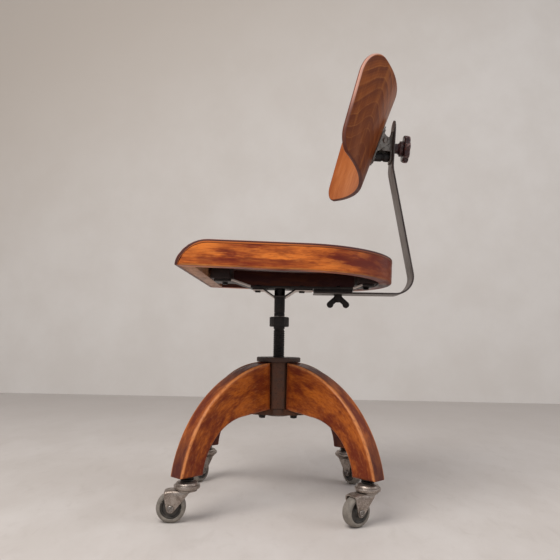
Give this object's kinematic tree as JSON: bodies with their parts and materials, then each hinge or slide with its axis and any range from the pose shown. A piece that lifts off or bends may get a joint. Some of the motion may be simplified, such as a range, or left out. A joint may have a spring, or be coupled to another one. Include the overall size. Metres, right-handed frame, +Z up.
{
  "type": "swivel chair",
  "caption": "Wooden swivel chair: screw-height dished seat on four arched legs with casters, and a sprung steel back bar carrying a curved tilting backrest.",
  "frame": {"origin": "on the floor, under the middle of the whole chair's bounding box", "axes": "+Z up, -Y the way the sitter faces, +X the sitter's left"},
  "size_m": [0.426, 0.4537, 0.8086],
  "materials": {
    "stained_wood": "glossy varnish over a red-brown stain, worn pale along the edges",
    "pale_wood": "raw, oiled",
    "cast_iron": "dark, a little rust",
    "black_steel": "black, worn",
    "worn_steel": "dull grey-brown",
    "plated_steel": "worn nickel plate",
    "grey_rubber": "matt",
    "black_rubber": "matt",
    "bakelite": "dark red-brown, glossy"
  },
  "bodies": {
    "base": {"hub": "cast_iron", "spindle_bush": "worn_steel", "foot_cross": "cast_iron", "leg_front_left": "stained_wood", "leg_screw_front_left": "black_steel", "caster_stem_front_left": "black_steel", "caster_race_front_left": "plated_steel", "leg_rear_left": "stained_wood", "leg_screw_rear_left": "black_steel", "caster_stem_rear_left": "black_steel", "caster_race_rear_left": "plated_steel", "leg_front_right": "stained_wood", "leg_screw_front_right": "black_steel", "caster_stem_front_right": "black_steel", "caster_race_front_right": "plated_steel", "leg_rear_right": "stained_wood", "leg_screw_rear_right": "black_steel", "caster_stem_rear_right": "black_steel", "caster_race_rear_right": "plated_steel"},
    "swivel_front_left": {"caster_fork_front_left": "plated_steel", "caster_axle_front_left": "worn_steel"},
    "wheel_front_left": {"caster_tyre_front_left": "grey_rubber", "caster_wheel_front_left": "black_steel"},
    "swivel_rear_left": {"caster_fork_rear_left": "plated_steel", "caster_axle_rear_left": "worn_steel"},
    "wheel_rear_left": {"caster_tyre_rear_left": "grey_rubber", "caster_wheel_rear_left": "black_steel"},
    "swivel_front_right": {"caster_fork_front_right": "plated_steel", "caster_axle_front_right": "worn_steel"},
    "wheel_front_right": {"caster_tyre_front_right": "grey_rubber", "caster_wheel_front_right": "black_steel"},
    "swivel_rear_right": {"caster_fork_rear_right": "plated_steel", "caster_axle_rear_right": "worn_steel"},
    "wheel_rear_right": {"caster_tyre_rear_right": "grey_rubber", "caster_wheel_rear_right": "black_steel"},
    "spindle_carrier": {"thrust_washer": "worn_steel"},
    "spindle": {"spindle": "black_steel", "hex_collar": "black_steel"},
    "seat": {"seat_socket": "black_steel", "main_strap": "black_steel", "bow_strap": "black_steel", "seat_panel": "stained_wood", "seat_rim": "stained_wood", "seat_front_rail": "pale_wood", "seat_front_pad": "pale_wood", "seat_rear_pad": "pale_wood", "bow_bolt_front": "black_steel", "bow_bolt_rear": "black_steel", "pad_screw_front": "black_steel", "pad_screw_rear": "black_steel", "bar_packing": "black_steel"},
    "back_bar": {"back_bar": "worn_steel"},
    "wing_screw": {"wing_screw": "black_steel"},
    "bracket": {"back_bracket": "worn_steel", "hinge_pin": "worn_steel", "clamp_stud": "worn_steel", "rubber_buffer": "black_rubber"},
    "star_knob": {"star_knob": "bakelite"},
    "backrest": {"back_plate": "worn_steel", "backrest_panel": "stained_wood"}
  },
  "joints": [
    {"name": "caster_swivel_front_left", "type": "hinge", "parent": "base", "child": "swivel_front_left", "pos_m": [0.15629, -0.17687, 0.0244], "axis": [0, 0, 1], "continuous": true},
    {"name": "wheel_roll_front_left", "type": "hinge", "parent": "swivel_front_left", "child": "wheel_front_left", "pos_m": [0.1589, -0.20174, 0.0244], "axis": [0.9945, 0.1045, 0], "continuous": true},
    {"name": "caster_swivel_rear_left", "type": "hinge", "parent": "base", "child": "swivel_rear_left", "pos_m": [0.14472, 0.12414, 0.0244], "axis": [0, 0, 1], "continuous": true},
    {"name": "wheel_roll_rear_left", "type": "hinge", "parent": "swivel_rear_left", "child": "wheel_rear_left", "pos_m": [0.15906, 0.10366, 0.0244], "axis": [0.8192, 0.5736, 0], "continuous": true},
    {"name": "caster_swivel_front_right", "type": "hinge", "parent": "base", "child": "swivel_front_right", "pos_m": [-0.14472, -0.18844, 0.0244], "axis": [0, 0, 1], "continuous": true},
    {"name": "wheel_roll_front_right", "type": "hinge", "parent": "swivel_front_right", "child": "wheel_front_right", "pos_m": [-0.12307, -0.20094, 0.0244], "axis": [0.5, 0.866, 0], "continuous": true},
    {"name": "caster_swivel_rear_right", "type": "hinge", "parent": "base", "child": "swivel_rear_right", "pos_m": [-0.15629, 0.11257, 0.0244], "axis": [0, 0, 1], "continuous": true},
    {"name": "wheel_roll_rear_right", "type": "hinge", "parent": "swivel_rear_right", "child": "wheel_rear_right", "pos_m": [-0.13509, 0.12582, 0.0244], "axis": [-0.5299, 0.848, 0], "continuous": true},
    {"name": "seat_height", "type": "slide", "parent": "base", "child": "spindle_carrier", "axis": [0, 0, 1], "range_m": [-0.055, 0.045]},
    {"name": "spindle_turn", "type": "hinge", "parent": "spindle_carrier", "child": "spindle", "pos_m": [0, -0.03215, 0.337], "axis": [0, 0, 1], "range_deg": [-2475, 2025]},
    {"name": "seat_swivel", "type": "hinge", "parent": "spindle_carrier", "child": "seat", "pos_m": [0, -0.03215, 0.39], "axis": [0, 0, 1], "continuous": true},
    {"name": "back_bar_slide", "type": "slide", "parent": "seat", "child": "back_bar", "axis": [0, 1, 0], "range_m": [0, 0.028]},
    {"name": "wing_screw_turn", "type": "hinge", "parent": "seat", "child": "wing_screw", "pos_m": [0, 0.08285, 0.385], "axis": [0, 0, 1], "range_deg": [0, 360]},
    {"name": "backrest_height", "type": "slide", "parent": "back_bar", "child": "bracket", "axis": [0, 0.061, 0.9981], "range_m": [-0.008, 0.02]},
    {"name": "star_knob_turn", "type": "hinge", "parent": "bracket", "child": "star_knob", "pos_m": [0, 0.21465, 0.68897], "axis": [0, 0.9981, -0.061], "range_deg": [0, 360]},
    {"name": "backrest_tilt", "type": "hinge", "parent": "bracket", "child": "backrest", "pos_m": [0, 0.17335, 0.7005], "axis": [1, 0, 0], "range_deg": [-8, 8], "stiffness_Nm_per_rad": 18, "deforming": ["rubber_buffer"]}
  ],
  "couplings": [
    {"joint": "spindle_turn", "follows": "seat_height", "rad_per_m": 785.4}
  ]
}
